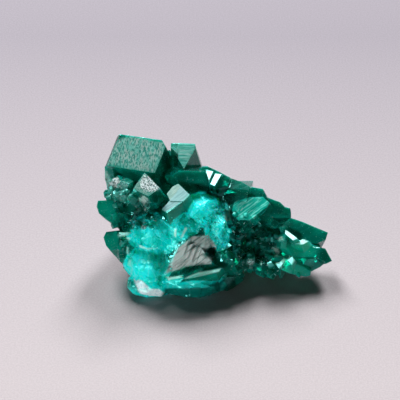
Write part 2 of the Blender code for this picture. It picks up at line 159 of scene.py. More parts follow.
# Where the fractured mass is turquoise: (centre, radii, how strong), in u, v and w
LOBES = (
    ((-1.4, 7.4, 7.0), (3.4, 3.0, 3.8), 1.0),
    ((0.3, 4.6, 7.0), (2.4, 3.2, 3.8), 1.0),
    ((-4.6, 5.4, 7.0), (3.4, 2.8, 4.0), 0.8),
    ((-8.2, 4.0, 6.6), (4.4, 3.2, 4.2), 0.85),
    ((-9.6, -0.4, 6.6), (3.3, 3.5, 4.4), 0.9),
    ((-3.6, -2.7, 6.6), (5.4, 2.6, 3.6), 0.6),
    ((-9.2, -3.1, 6.8), (3.6, 2.0, 3.0), 0.5),
)

# Finishes of places on the front: (outline in u and v, strength, and if it matters the way the face looks)
FINISHES = {
    "etched": (
        ([(-13.6, 18.0), (-12.1, 18.4), (-6.7, 17.2), (-7.0, 16.3), (-8.4, 12.9), (-15.3, 14.1),
          (-14.9, 16.0), (-14.1, 17.4)], 1.0, (-0.259, 0.489, 0.833)),
        ([(-5.2, 17.4), (-2.6, 17.3), (-2.7, 16.4), (-4.3, 13.3), (-5.2, 15.0)], 0.8, (-0.1, 0.5, 0.86)),
        ([(-6.5, 16.9), (-4.9, 16.9), (-5.1, 15.2)], 0.6),
        ([(-10.0, 13.2), (-7.4, 10.6), (-9.3, 9.4), (-11.8, 10.7)], 0.9, (-0.1, 0.45, 0.88)),
        ([(-15.2, 10.8), (-13.7, 11.1), (-11.8, 10.6), (-12.1, 8.6), (-14.0, 8.8), (-15.5, 9.5)], 0.5),
    ),
    # Painted sparkle: crusts of small crystals, their white specks painted in place of glints off the tiny
    # crystals
    "silvered": (
        ([(-14.4, 12.3), (-13.7, 12.4), (-13.4, 11.7), (-13.9, 11.3), (-13.1, 11.0), (-14.3, 10.8),
          (-15.0, 11.4)], 1.0),
        ([(-13.6, 12.0), (-11.8, 11.4), (-11.9, 11.0), (-13.4, 11.0)], 0.5),
        ([(-10.6, 11.6), (-10.0, 12.8), (-9.3, 12.6), (-7.5, 10.7), (-8.3, 10.3), (-9.4, 10.3),
          (-10.3, 10.6)], 1.0),
        ([(-10.5, 5.4), (-9.7, 5.5), (-9.7, 5.0), (-10.5, 5.0)], 0.8),
        ([(4.8, 0.4), (5.5, 0.7), (5.9, 0.1), (5.4, -0.4), (4.8, -0.1)], 0.8),
    ),
    "pale": (
        ([(-7.0, 10.1), (-5.4, 11.6), (-4.5, 11.3), (-3.4, 10.0), (-4.3, 9.1), (-5.6, 8.1), (-6.8, 7.5),
          (-7.7, 7.6)], 1.0, FLASH),
    ),
    # Layered cleavage faces: a greyish colour of their own, partly painted sheen where they mirror the room
    "grey": (
        ([(-7.0, -1.5), (-5.8, 0.9), (-5.1, 2.3), (-2.9, 4.0), (-0.8, 4.0), (0.4, 2.5), (-0.4, 0.0),
          (-4.0, -0.4)], 1.0),
        ([(-10.8, 9.2), (-10.0, 9.8), (-9.3, 9.2), (-9.9, 8.1)], 0.8),
        ([(-16.1, 14.1), (-15.5, 13.3), (-14.9, 12.3), (-14.9, 10.6), (-15.8, 10.8)], 0.5),
        ([(8.6, 2.2), (9.3, 2.1), (9.6, 1.2), (8.9, 1.0)], 0.7),
        ([(1.5, 7.6), (2.4, 7.8), (2.4, 6.3), (1.7, 5.9)], 0.6),
        ([(9.2, 3.5), (9.7, 3.9), (10.2, 3.4), (9.3, 3.2)], 0.7),
    ),
    "milky": (
        ([(-4.2, -2.0), (-2.1, -1.2), (1.0, -0.7), (0.8, -1.1), (-1.5, -1.7), (-4.2, -2.2)], 0.85),
        ([(-6.8, -2.0), (-4.5, -1.7), (-4.5, -2.0), (-6.5, -2.4)], 0.9),
        ([(-13.7, 4.5), (-11.8, 4.5), (-12.2, 4.1), (-13.7, 3.8)], 0.9),
        ([(-12.8, 3.5), (-12.4, 3.8), (-11.8, 3.7), (-12.2, 3.2), (-12.8, 3.2)], 0.7),
        ([(-5.6, 4.9), (-5.3, 5.0), (-5.4, 3.7), (-5.7, 4.0)], 1.0),
        ([(-4.0, 5.2), (-3.8, 5.1), (-4.5, 3.7), (-4.8, 3.8)], 0.9),
        ([(-10.7, 2.7), (-9.5, 2.2), (-8.1, 2.3), (-8.1, 2.1), (-9.5, 2.0), (-10.6, 2.3)], 0.8),
        ([(-12.3, 0.7), (-11.9, 0.5), (-11.9, -0.6), (-12.4, -0.3)], 0.5),
        ([(-12.5, 2.4), (-12.2, 2.3), (-12.3, 1.3), (-12.6, 1.5)], 0.6),
    ),
    # Painted glints: white patches at the foot and starry specks among the crystals, painted in place of
    # reflections
    "chalky": (
        ([(-11.6, -2.2), (-10.3, -2.5), (-9.2, -3.5), (-10.9, -3.8)], 1.0),
        ([(-10.9, -3.8), (-9.3, -3.6), (-7.8, -3.7), (-7.1, -4.3), (-7.5, -4.8), (-9.2, -4.7),
          (-10.5, -4.4)], 0.9),
        ([(-10.8, 7.8), (-10.5, 8.1), (-10.3, 7.7), (-10.5, 7.4)], 1.0),
        ([(-10.1, 7.8), (-9.8, 7.8), (-9.9, 7.5)], 1.0),
    ),
    "cream": (
        ([(-7.1, 10.0), (-6.1, 11.0), (-5.4, 11.6), (-4.6, 11.3), (-5.4, 10.1), (-6.2, 9.2),
          (-7.0, 9.1)], 1.0, FLASH),
    ),
    # Painted glint, in part: these facets face the small lamp and mirror it, and their pale colour is
    # painted to make the glint white
    "flash": (
        ([(-1.8, 13.2), (0.1, 13.4), (-0.6, 11.7), (-1.4, 12.6)], 1.0, FLASH),
        ([(-0.7, 11.4), (0.2, 13.0), (1.3, 12.8), (0.2, 10.8)], 1.0, FLASH),
        ([(10.2, 4.8), (10.8, 4.7), (12.3, 3.7), (11.4, 3.2), (10.2, 4.0)], 1.0, FLASH),
        ([(11.2, 2.8), (12.2, 3.2), (12.8, 3.5), (13.7, 3.1), (12.9, 2.7)], 1.0, FLASH),
        ([(8.8, -0.1), (9.5, 1.0), (10.4, 0.4), (9.4, -0.9)], 1.0, FLASH),
        ([(10.6, 0.4), (11.0, 1.1), (11.8, 0.4), (11.2, -0.3)], 0.9, FLASH),
    ),
    "striated": (
        ([(2.6, 7.5), (2.9, 8.8), (5.2, 9.5), (7.1, 9.5), (8.0, 8.8), (7.7, 8.1), (6.2, 7.0), (5.1, 6.2),
          (3.3, 6.3)], 1.0),
    ),
    "granular": (
        ([(0.1, 8.8), (1.8, 8.4), (2.1, 1.8), (1.1, 0.3), (0.1, 2.6), (-1.2, 3.8), (-3.7, 4.4),
          (-3.2, 6.6), (-0.8, 7.0)], 1.0),
        ([(-9.3, 5.9), (-6.7, 7.0), (-4.0, 7.0), (-3.7, 5.0), (-5.5, 3.5), (-8.1, 3.5)], 0.5),
        ([(-7.4, 1.8), (-5.6, 2.8), (-6.1, 0.0), (-7.0, -1.2), (-7.8, 0.0)], 0.7),
    ),
    "sparkling": (
        ([(2.1, 5.9), (3.9, 6.3), (7.1, 5.9), (8.9, 3.2), (8.7, 0.0), (5.4, -0.9), (2.4, 0.0)], 1.0),
        ([(-13.7, 8.5), (-10.8, 9.1), (-7.0, 7.8), (-7.3, 6.7), (-9.6, 5.6), (-10.8, 4.7),
          (-13.4, 5.0)], 0.8),
        ([(2.3, 7.9), (3.0, 8.8), (4.8, 7.9), (4.8, 5.9), (2.7, 5.9)], 0.7),
        ([(-15.2, 11.1), (-13.1, 11.4), (-11.7, 10.6), (-12.2, 8.5), (-14.3, 8.5)], 0.5),
        ([(3.9, 0.0), (9.7, 0.0), (12.7, -1.5), (9.7, -2.3), (3.3, -2.1)], 0.4),
    ),
    # Painted glow: lighter green and turquoise where light passes through the crystals and the shattered
    # mass
    "bright": (
        ([(-7.0, 7.2), (-4.2, 8.5), (-3.7, 9.7), (-3.0, 9.5), (-3.9, 7.9), (-5.9, 5.7),
          (-6.7, 5.4)], 0.5),
        ([(-4.3, 8.4), (-3.4, 9.1), (-2.0, 9.5), (-0.5, 8.9), (-0.2, 7.8), (-1.1, 7.0),
          (-3.4, 7.0)], 0.7),
        ([(-16.8, 9.0), (-15.2, 9.1), (-13.6, 8.5), (-14.0, 6.0), (-15.5, 6.7), (-16.8, 7.8)], 0.3),
        ([(9.6, 2.8), (11.2, 2.6), (14.4, 2.8), (14.7, 1.0), (12.1, 0.7), (9.9, 1.5)], 0.9),
        ([(9.9, -0.1), (12.1, 0.0), (13.6, -0.6), (14.3, -1.3), (13.6, -2.1), (10.6, -1.6)], 0.95),
        ([(-15.8, 4.3), (-14.0, 4.4), (-13.4, 2.3), (-14.9, 2.1), (-15.8, 3.2)], 0.35),
        ([(-4.3, -1.9), (-1.5, -1.7), (0.8, -1.2), (0.7, -2.1), (-1.1, -2.9), (-4.0, -3.1)], 0.5),
        ([(-11.2, 0.9), (-10.5, 1.6), (-9.7, 1.0), (-9.9, -0.3), (-10.9, -0.4)], 0.8),
        ([(-9.6, -0.1), (-8.1, 0.0), (-7.8, -1.2), (-9.2, -1.8)], 0.9),
        ([(-9.1, 6.0), (-6.8, 6.3), (-6.4, 4.7), (-7.4, 4.0), (-8.9, 4.3)], 0.6),
        ([(0.7, 8.5), (1.8, 8.2), (2.0, 5.6), (1.2, 5.0), (0.7, 6.7)], 1.0),
        ([(1.1, 3.2), (1.8, 3.8), (1.9, 1.5), (1.1, 0.6)], 0.9),
    ),
    # Painted shade: clefts between crystals, the foot near the floor, shaded corners and a patch that
    # refracted light would light are painted black-green; it also deepens the deeper-toned crystals' own
    # colour
    "dark": (
        ([(-7.3, -2.6), (-3.4, -2.9), (0.1, -2.5), (0.4, -3.2), (-2.0, -3.8), (-7.0, -3.8)], 0.4),
        ([(-2.4, 3.8), (-0.8, 4.0), (0.2, 2.8), (-1.0, 2.1), (-2.3, 2.3)], 0.35),
        ([(-15.2, 16.9), (-14.7, 17.2), (-15.3, 14.2), (-16.0, 14.2)], 0.45),
        ([(-14.0, 18.9), (-12.4, 18.6), (-13.1, 17.8), (-14.6, 17.7)], 0.5),
        ([(-6.4, 13.5), (-5.2, 14.1), (-4.9, 11.1), (-6.1, 11.4)], 0.3),
        ([(2.1, 5.3), (3.6, 6.2), (7.1, 5.6), (8.6, 3.2), (8.6, 0.0), (5.4, -0.9), (2.4, 0.6)], 0.25),
        ([(-13.9, 8.5), (-10.8, 9.1), (-6.7, 7.9), (-7.0, 6.7), (-9.3, 5.9), (-10.8, 4.7), (-13.7, 4.8),
          (-14.1, 7.0)], 0.4),
        ([(-2.7, 11.4), (0.4, 10.8), (2.3, 11.0), (3.3, 9.7), (2.3, 8.2), (0.4, 9.4), (-2.3, 10.6)], 1.0),
        ([(-1.7, 1.3), (-0.5, 2.7), (0.4, 1.8), (0.2, 1.2), (-1.2, 0.9)], 1.0),
        ([(-5.8, -1.6), (-3.7, -0.3), (-1.5, 0.1), (-1.7, -0.4), (-4.0, -1.5)], 0.8),
        ([(-14.0, -1.2), (-12.8, -1.8), (-11.4, -2.6), (-10.8, -4.1), (-12.5, -3.5), (-13.7, -2.3)], 0.6),
        ([(-7.0, -3.5), (-4.0, -3.4), (-1.1, -3.2), (1.2, -2.2), (3.0, -1.8), (3.6, -4.4), (-2.0, -5.3),
          (-7.8, -5.6)], 0.9),
    ),
}

# Finishes that begin more gradually: half the width over which they do
GRADUAL = {"etched": 0.3, "bright": 0.7, "dark": 0.35, "granular": 0.5, "sparkling": 0.6, "grey": 0.2}

# Where the mineral's grain runs another way than its surroundings:
# (outline in u and v, the way the face looks or None, run in u and v, how far it is drawn out)
GRAIN = (
    ([(-14.0, 18.9), (-6.7, 17.3), (-8.4, 12.8),
      (-16.1, 14.1)], (-0.259, 0.489, 0.833), (-0.2, -1.0), 2.4),
    ([(-5.2, 17.4), (-2.6, 17.3), (-2.7, 16.4), (-4.3, 13.3),
      (-5.2, 15.0)], (-0.1, 0.5, 0.86), (1.0, -0.05), 9.0),
    ([(-7.0, 10.1), (-5.4, 11.6), (-4.5, 11.3), (-3.4, 10.0), (-4.3, 9.1), (-5.6, 8.1), (-6.8, 7.5),
      (-7.7, 7.6)], FLASH, (0.8, 0.6), 8.0),
    ([(2.3, 7.5), (2.6, 8.8), (5.2, 9.8), (7.4, 9.5), (8.6, 8.4), (7.0, 6.5), (5.2, 5.6),
      (3.0, 6.0)], None, (0.8, 0.6), 9.0),
    ([(-7.3, -1.5), (-5.8, 1.2), (-5.1, 2.6), (-2.9, 4.3), (-0.5, 4.3), (1.0, 2.5), (0.1, -0.3),
      (-4.0, -0.7)], None, (0.82, 0.57), 7.0),
    ([(-7.0, -2.6), (-4.0, -0.7), (1.2, -0.3), (1.2, -1.5), (-1.2, -3.2),
      (-6.4, -3.2)], None, (0.96, 0.26), 6.0),
    ([(-12.7, 2.3), (-9.3, 2.1), (-7.1, 0.9), (-7.3, -2.6), (-11.1, -2.6),
      (-12.8, -0.9)], None, (0.35, -0.94), 3.0),
)

# Lamps: (name, power in watts, width and height in metres, the way to it in X, Y and Z)
LIGHTS = (
    ("left_window", 3.4, (0.12, 0.2), (-0.3, 0.62, 0.744)),
    ("right_window", 2.8, (0.1, 0.2), (0.24, 0.65, 0.744)),
    ("small_lamp", 0.35, (0.068, 0.068), (-0.25, 0.35, 0.90)),
    ("front_card", 2.0, (0.34, 0.03), (-0.5, -0.87, 0.033)),
)
ROOM_LIGHT = (0.95, 0.97, 1.0, 1.0)
FLOOR_REACH = 2.0  # half the paper's width, in metres
FLOOR_FADE = (62.0, -30.0, 0.0, 1.0)  # where the far and near colours rule, in Y, and the near one's share: painted light, lighter in front


def face_areas(points, faces):
    """Each triangle's normal, as long as twice its area."""
    a, b, c = (points[faces[:, k]] for k in range(3))
    return np.cross(b - a, c - a)


class Surface:
    """A triangle mesh held as arrays, in millimetres."""

    def __init__(self, mesh):
        count = len(mesh.vertices)
        self.points = np.empty(count * 3)
        mesh.vertices.foreach_get("co", self.points)
        self.points = self.points.reshape(-1, 3) / MM
        self.faces = np.empty(len(mesh.loops), int)
        mesh.loops.foreach_get("vertex_index", self.faces)
        self.faces = self.faces.reshape(-1, 3)
        self.looks = unit(face_areas(self.points, self.faces))
        self.edges = np.empty(len(mesh.edges) * 2, int)
        mesh.edges.foreach_get("vertices", self.edges)
        self.edges = self.edges.reshape(-1, 2)

    def point_normals(self):
        areas = face_areas(self.points, self.faces)
        total = np.zeros_like(self.points)
        for k in range(3):
            total += self.gather(self.faces[:, k], areas)
        return unit(total)

    def gather(self, owners, values):
        """The sum of the values that belong to each point."""
        if values.ndim == 1:
            return np.bincount(owners, values, len(self.points))
        return np.stack([np.bincount(owners, column, len(self.points)) for column in values.T], axis=1)

    def from_corners(self, by_corner):
        """A value for each point: the mean of its corners'."""
        flat = by_corner.reshape(len(self.faces) * 3, -1)
        count = np.bincount(self.faces.ravel(), minlength=len(self.points))
        return self.gather(self.faces.ravel(), flat) / np.maximum(count, 1)[:, None]

    def creases(self):
        """How far each point's faces turn from one another, from 0 on a flat facet to 1 on a sharp edge."""
        normals = self.point_normals()
        least = np.ones(len(self.points))
        for k in range(3):
            turn = (self.looks * normals[self.faces[:, k]]).sum(1)
            np.minimum.at(least, self.faces[:, k], turn)
        return smoothstep(*CREASE, 1.0 - least)

    def bulges(self):
        """Whether each point stands out from its neighbours."""
        starts, ends = self.edges.T
        away = self.points[starts] - self.points[ends]
        total = self.gather(starts, away) - self.gather(ends, away)
        return (total * self.point_normals()).sum(1) > 0.0

    def relax(self, weight, rounds):
        """Moves each point toward the middle of its neighbours by its weight."""
        starts, ends = self.edges.T
        count = np.maximum(np.bincount(self.edges.ravel(), minlength=len(self.points)), 1)
        for _ in range(rounds):
            total = self.gather(starts, self.points[ends]) + self.gather(ends, self.points[starts])
            self.points += (total / count[:, None] - self.points) * weight[:, None]


def lobe_share(places):
    """How turquoise each u, v and w place is."""
    share = np.zeros(len(places))
    for centre, radii, strength in LOBES:
        reach = np.linalg.norm((places - np.array(centre)) / np.array(radii), axis=1)
        share = np.maximum(share, strength * (1.0 - smoothstep(*LOBE_RIM, reach)))
    return share


def place_share(surface, places, outline, feather, spread, looks=None):
    """For each corner of each triangle, how far it is inside an outline, on a face that looks this way.

    Where no way is given, any face near the front of what the outline holds will do.
    """
    depth = depth_inside(places[:, :2], outline)
    share = smoothstep(-feather, feather, depth)[surface.faces]
    if looks is None:
        nearest = places[depth > 0, 2].max()
        share = share * (places[surface.faces, 2] > nearest - NEAR)
        facing = surface.looks @ turned(OUTWARD) > 0.0
    else:
        facing = surface.looks @ turned(looks) > math.cos(math.radians(spread))
    return share * facing[:, None]


def finish_share(surface, places, name):
    """For each corner of each triangle, how far it has the named finish."""
    share = np.zeros(surface.faces.shape)
    feather = GRADUAL.get(name, FEATHER)
    for outline, strength, *looks in FINISHES[name]:
        here = place_share(surface, places, outline, feather, FINISH_SPREAD, *looks)
        share = np.maximum(share, strength * here)
    return share


def grain_places(surface, places):
    """A place for each corner of each triangle, drawn together along the mineral's grain."""
    out = surface.points[surface.faces]
    for outline, looks, run, stretch in GRAIN:
        inside = place_share(surface, places, outline, GRAIN_FEATHER, GRAIN_SPREAD, looks) > 0.5
        normal = np.asarray(looks or OUTWARD)
        out_of_face = turned(normal)
        along = turned((*run, -(normal[:2] @ run) / normal[2]))
        across = np.cross(out_of_face, along)
        local = surface.points @ np.stack([along / stretch, across, out_of_face / stretch], axis=1)
        out = np.where(inside[..., None], local[surface.faces], out)
    return out


def split_long_edges(points, faces, wanted, passes=10):
    """Halves each edge that is longer than wanted(middles, looks), until none is."""
    for _ in range(passes):
        ends = np.sort(faces[:, [[0, 1], [1, 2], [2, 0]]].reshape(-1, 2), axis=1)
        keys = ends[:, 0] * len(points) + ends[:, 1]
        _, first, edge_of = np.unique(keys, return_index=True, return_inverse=True)
        pairs = ends[first]
        edge_of = edge_of.reshape(-1, 3)
        looks = unit(face_areas(points, faces))
        middles = (points[pairs[:, 0]] + points[pairs[:, 1]]) / 2
        lengths = np.linalg.norm(points[pairs[:, 0]] - points[pairs[:, 1]], axis=1)
        split = lengths > wanted(middles, looks[first // 3])
        if not split.any():
            break
        new_point = np.full(len(pairs), -1)
        new_point[split] = len(points) + np.arange(split.sum())
        points = np.concatenate([points, middles[split]])
        faces = np.concatenate(list(split_triangles(faces, new_point[edge_of])))
    return points, faces


def split_triangles(faces, middles):
    """Each triangle in pieces, given the new points on its edges, or -1 where an edge stays whole."""
    cut = middles >= 0
    count = cut.sum(axis=1)
    yield faces[count == 0]
    corners, mid = faces[count == 3], middles[count == 3]
    for k in range(3):
        yield np.stack([corners[:, k], mid[:, k], mid[:, k - 1]], axis=1)
    yield mid
    for k in range(3):
        after, last = (k + 1) % 3, (k + 2) % 3
        one = (count == 1) & cut[:, k]
        corners, mid = faces[one], middles[one]
        yield np.stack([corners[:, k], mid[:, k], corners[:, last]], axis=1)
        yield np.stack([mid[:, k], corners[:, after], corners[:, last]], axis=1)
        two = (count == 2) & ~cut[:, k]
        corners, mid = faces[two], middles[two]
        yield np.stack([corners[:, last], mid[:, last], mid[:, after]], axis=1)
        yield np.stack([corners[:, k], corners[:, after], mid[:, last]], axis=1)
        yield np.stack([corners[:, after], mid[:, after], mid[:, last]], axis=1)


def solid_arrays():
    """The cluster's own solid, its corners joined, as points in millimetres and triangles."""
    bm = bmesh.new()
    bm.from_mesh(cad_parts[NODE].data)
    bmesh.ops.scale(bm, verts=bm.verts, vec=(1 / MM,) * 3)
    bmesh.ops.remove_doubles(bm, verts=bm.verts, dist=WELD)
    bmesh.ops.triangulate(bm, faces=bm.faces)
    inner = [edge for edge in bm.edges if edge.calc_face_angle(math.pi) < FLAT]
    bmesh.ops.beautify_fill(bm, faces=bm.faces, edges=inner, method="ANGLE")
    bm.verts.index_update()
    points = np.array([v.co for v in bm.verts])
    faces = np.array([[v.index for v in face.verts] for face in bm.faces])
    bm.free()
    return points, faces


def fine_mesh(detail):
    """The cluster's solid in triangles that are smallest where the front is broken."""
    eye = turned(OUTWARD)

    def wanted(middles, looks):
        places = from_front(middles)
        lengths = np.where(lobe_share(places) > FAINT, detail, PLAIN_EDGES * detail)
        for outline, *_ in GRAIN:
            lengths[depth_inside(places[:, :2], outline) > 0] = GRAIN_EDGES * detail
        return np.where(looks @ eye < HIDDEN, BACK_EDGES * detail, lengths)

    points, faces = split_long_edges(*solid_arrays(), wanted)
    mesh = bpy.data.meshes.new("fine")
    mesh.from_pydata(points * MM, [], faces)
    return mesh


def shattered(points, size, tilt, seed):
    """How far each point stands out when the surface has broken into small flat faces of this size."""
    heights = np.empty(len(points))
    offset = Vector((seed * 7.3, seed * 3.1, seed * 5.7))
    for i, point in enumerate(points):
        spot = Vector(point) / size + offset
        _, cells = noise.voronoi(spot)
        cell = cells[0]
        slope = noise.cell_vector(cell * 37.0)
        heights[i] = (spot - cell).dot(slope - Vector((0.5, 0.5, 0.5))) * 2.0 * tilt * size
    return heights


def swell(points, size, octaves=3):
    """Soft noise, about -1 to 1, whose largest waves are this size."""
    return np.array([noise.fractal(Vector(p) / size, 1.0, 2.0, octaves) for p in points])


def where(share, points, height):
    """The height at each point times its share, worked out only where there is one."""
    rise = np.zeros(len(points))
    there = share > TRACE
    rise[there] = share[there] * height(points[there])
    return rise


def set_attribute(mesh, name, values, domain, kind="FLOAT", field="value"):
    attribute = mesh.attributes.new(name, kind, domain)
    attribute.data.foreach_set(field, np.asarray(values, np.float32).ravel())


def placed(name, data):
    """A new object in the scene."""
    made = bpy.data.objects.new(name, data)
    bpy.context.scene.collection.objects.link(made)
    return made


def feed(tree, socket, value):
    """Sets a node's input, or joins it to another node."""
    if isinstance(value, bpy.types.NodeSocket):
        tree.links.new(value, socket)
    else:
        socket.default_value = value


def add_node(tree, kind, feeds=(), **settings):
    """A new node with these settings, its inputs set or joined."""
    made = tree.nodes.new(kind)
    for name, value in settings.items():
        setattr(made, name, value)
    for name, value in dict(feeds).items():
        feed(tree, made.inputs[name], value)
    return made


class Shader:
    """Adds nodes to a material and joins them."""

    def __init__(self, name):
        self.material = bpy.data.materials.new(name)
        self.material.use_nodes = True
        self.tree = self.material.node_tree
        self.surface = self.tree.nodes["Principled BSDF"]
        self.output = self.tree.nodes["Material Output"]

    def finish(self, **inputs):
        """The material, with these inputs of its surface set or joined."""
        for name, value in inputs.items():
            feed(self.tree, self.surface.inputs[name.replace("_", " ")], value)
        return self.material

    def node(self, kind, feeds=(), **settings):
        return add_node(self.tree, kind, feeds, **settings)

    def math(self, operation, first, second):
        return self.node("ShaderNodeMath", {0: first, 1: second}, operation=operation).outputs[0]

    def mix(self, share, first, second):
        """A colour between two colours."""
        return self.node("ShaderNodeMix", {0: share, 6: first, 7: second}, data_type="RGBA").outputs[2]

    def between(self, share, first, second):
        """A number between two numbers."""
        return self.node("ShaderNodeMix", {0: share, 2: first, 3: second}).outputs[0]

    def remap(self, value, *bounds, interpolation="SMOOTHSTEP"):
        """The value taken from low and high to 0 and 1, or to the two numbers that follow them."""
        feeds = dict(enumerate((value, *bounds)))
        return self.node("ShaderNodeMapRange", feeds, interpolation_type=interpolation).outputs[0]

    def attribute(self, name, output="Fac"):
        return self.node("ShaderNodeAttribute", attribute_name=name).outputs[output]

    def millimetres(self, turn=(0.0, 0.0, 0.0), stretch=(1.0, 1.0, 1.0)):
        """Object coordinates in millimetres, turned and then stretched."""
        place = self.node("ShaderNodeTexCoord").outputs["Object"]
        place = self.node("ShaderNodeMapping", {"Vector": place, "Rotation": turn}).outputs[0]
        scale = tuple(s / MM for s in stretch)
        return self.node("ShaderNodeMapping", {"Vector": place, "Scale": scale}).outputs[0]

    def grain(self, place, size, detail=3.0, roughness=0.55):
        """Soft noise whose largest waves are this size."""
        feeds = {"Vector": place, "Scale": 1.0 / size, "Detail": detail, "Roughness": roughness}
        return self.node("ShaderNodeTexNoise", feeds).outputs["Fac"]


def dioptase_material(look):
    """Green glassy mineral, see-through and absorbing, with frosted, silvery and shattered places, and
    painted glow, shade, glints and edge highlights.
    """
    s = Shader("dioptase")
    place = s.millimetres()
    run = s.attribute("grain", "Vector")
    turquoise = s.attribute("turquoise")
    granular = s.attribute("granular")
    bright = s.attribute("bright")
    dark = s.attribute("dark")
    edge = s.attribute("edge")

    # Patterns, from the widest to the finest
    cloud = s.grain(place, 3.0)
    veil = s.grain(s.millimetres(turn=(0.5, 0.4, 0.9), stretch=(1.0, 1.0, 6.0)), 2.2, detail=5.0)
    drift = s.grain(run, 1.6, detail=4.0)
    cracks = s.node("ShaderNodeTexVoronoi", {"Vector": run, "Scale": 0.8}, feature="DISTANCE_TO_EDGE")
    patches = s.grain(run, 0.8, detail=3.0)
    fine = s.grain(run, 0.5, detail=4.0)
    ribs = s.grain(run, 0.34, detail=2.0)
    pitting = s.grain(run, 0.2, detail=2.0, roughness=0.6)
    dot = s.grain(place, 0.2, detail=1.0)
    speck = s.grain(run, 0.17, detail=2.0)

    # Whole crystals
    emerald = s.mix(s.remap(cloud, 0.35, 0.65), look.deep_green, look.green)
    # Painted glow of the crystals that light passes through
    emerald = s.mix(bright, emerald, look.painted_glow_green)
    emerald = s.mix(s.remap(veil, 0.52, 0.7, 0.0, 0.25), emerald, look.streak_and_edge_highlight)
    emerald = s.mix(s.remap(dot, 0.66, 0.72, 0.0, 0.6), emerald, look.mint)

    # The shattered mass
    broken = s.mix(s.remap(drift, 0.36, 0.6), look.teal, look.turquoise)
    # Painted glow of the shattered mass where light passes through it
    broken = s.mix(s.math("MULTIPLY", bright, s.remap(drift, 0.3, 0.5, 0.5, 1.0)), broken, look.painted_glow_turquoise)
    broken = s.mix(s.math("MULTIPLY", granular, s.remap(fine, 0.47, 0.38)), broken, look.green)
    broken = s.mix(s.math("MULTIPLY", granular, s.remap(dot, 0.6, 0.66)), broken, look.crust)
    broken = s.mix(s.remap(cracks.outputs[0], 0.05, 0.0, 0.0, 0.6), broken, look.crust)

    colour = s.mix(s.remap(turquoise, 0.05, 0.6), emerald, broken)
    clear = s.between(s.remap(turquoise, 0.0, 0.5), look.clearness, look.clearness * 0.25)
    rough = s.between(turquoise, s.between(s.remap(fine, 0.3, 0.7), 0.06, 0.16), 0.34)

    # Finishes: (name, colour where the pattern is low and where it is high, pattern, roughness).
    # Where there are no two colours, the pattern is itself the colour.
    frosted = s.mix(s.remap(patches, 0.42, 0.58), look.frost, look.dusty)
    etched = s.mix(s.remap(pitting, 0.38, 0.57), look.shaded_frost, frosted)
    solid = 0.0
    for name, low, high, pattern, roughness in (
        ("striated", look.green, look.streak_and_edge_highlight, s.remap(pitting, 0.5, 0.64, 0.0, 0.7), 0.34),
        ("etched", None, None, etched, 0.42),
        # Painted sparkle: white specks on the crust stand for glints off tiny crystals
        ("silvered", look.black_green, look.painted_glint_white, s.remap(pitting, 0.47, 0.53, 0.1, 0.75), 0.3),
        # Partly painted sheen: the cleavage faces' greyish colour also stands in for what they mirror
        ("grey", look.black_green, look.grey, s.remap(ribs, 0.33, 0.5, 0.3, 1.0), 0.45),
        ("pale", look.lavender, look.blue_white, s.remap(pitting, 0.4, 0.6), 0.5),
        ("cream", look.sand, look.cream, s.remap(pitting, 0.4, 0.6), 0.5),
        ("milky", look.teal, look.mint, s.remap(ribs, 0.32, 0.42, 0.5, 1.0), 0.3),
        # Painted glints: white patches and specks in place of reflections
        ("chalky", look.lilac, look.painted_glint_white, s.remap(ribs, 0.4, 0.56), 0.3),
        # Partly painted glint: a pale colour under the lamp's real reflection
        ("flash", look.flash, look.flash, 1.0, 0.1),
    ):
        share = s.attribute(name)
        colour = s.mix(share, colour, pattern if low is None else s.mix(pattern, low, high))
        clear = s.between(share, clear, 0.1)
        rough = s.between(share, rough, roughness)
        solid = s.math("MAXIMUM", solid, share)
    # Painted highlight: a lighter line along the crystals' convex edges
    colour = s.mix(s.remap(edge, 0.75, 1.0, 0.0, 0.3), colour, look.streak_and_edge_highlight)
    # Painted shade, painted black-green
    colour = s.mix(dark, colour, look.black_green)

    height = s.math("ADD", s.math("MULTIPLY", fine, 0.5), s.math("MULTIPLY", speck, 0.4))
    bump = s.node("ShaderNodeBump", {"Height": height, "Strength": 0.3, "Distance": BUMP_HEIGHT * MM})
    depths = {"Color": (*look.let_through, 1.0), "Density": look.absorption}
    absorbing = s.node("ShaderNodeVolumeAbsorption", depths)
    feed(s.tree, s.output.inputs["Volume"], absorbing.outputs[0])
    return s.finish(
        Base_Color=colour,
        Transmission_Weight=clear,
        Roughness=rough,
        Normal=bump.outputs[0],
        IOR=REFRACTION,
        Specular_Tint=SHEEN,
        Subsurface_Weight=s.between(solid, 1.0, 0.15),
        Subsurface_Radius=SCATTER,
        Subsurface_Scale=SCATTER_DEPTH * MM,
    )


def chip_material(name, dull, light, roughness):
    """Small glossy broken pieces, some duller and some lighter."""
    s = Shader(name)
    mottle = s.grain(s.millimetres(), 0.6, detail=1.0)
    return s.finish(
        Base_Color=s.mix(s.remap(mottle, 0.4, 0.6), dull, light),
        Roughness=s.remap(mottle, 0.3, 0.7, roughness, 1.5 * roughness),
        IOR=REFRACTION,
    )


def hull(name, points):
    """A small closed shape: the skin stretched over these points."""
    bm = bmesh.new()
    for point in points:
        bm.verts.new(point)
    bmesh.ops.convex_hull(bm, input=bm.verts)
    bmesh.ops.recalc_face_normals(bm, faces=bm.faces)
    mesh = bpy.data.meshes.new(name)
    bm.to_mesh(mesh)
    bm.free()
    return placed(name, mesh)


def grain_shape():
    """A lump with uneven faces."""
    bm = bmesh.new()
    bmesh.ops.create_icosphere(bm, subdivisions=1, radius=1.0)
    points = [v.co * (1.0 + 0.25 * noise.noise(v.co * 3.1)) for v in bm.verts]
    bm.free()
    return hull("grain_shape", points)


def flake_shape():
    """A thin plate with slanted ends, as the mineral splits."""
    outline = ((-1.0, -0.6), (0.5, -1.0), (1.0, 0.5), (-0.6, 1.0))
    return hull("flake_shape", [(x, y, z) for x, y in outline for z in (-1.0, 1.0)])


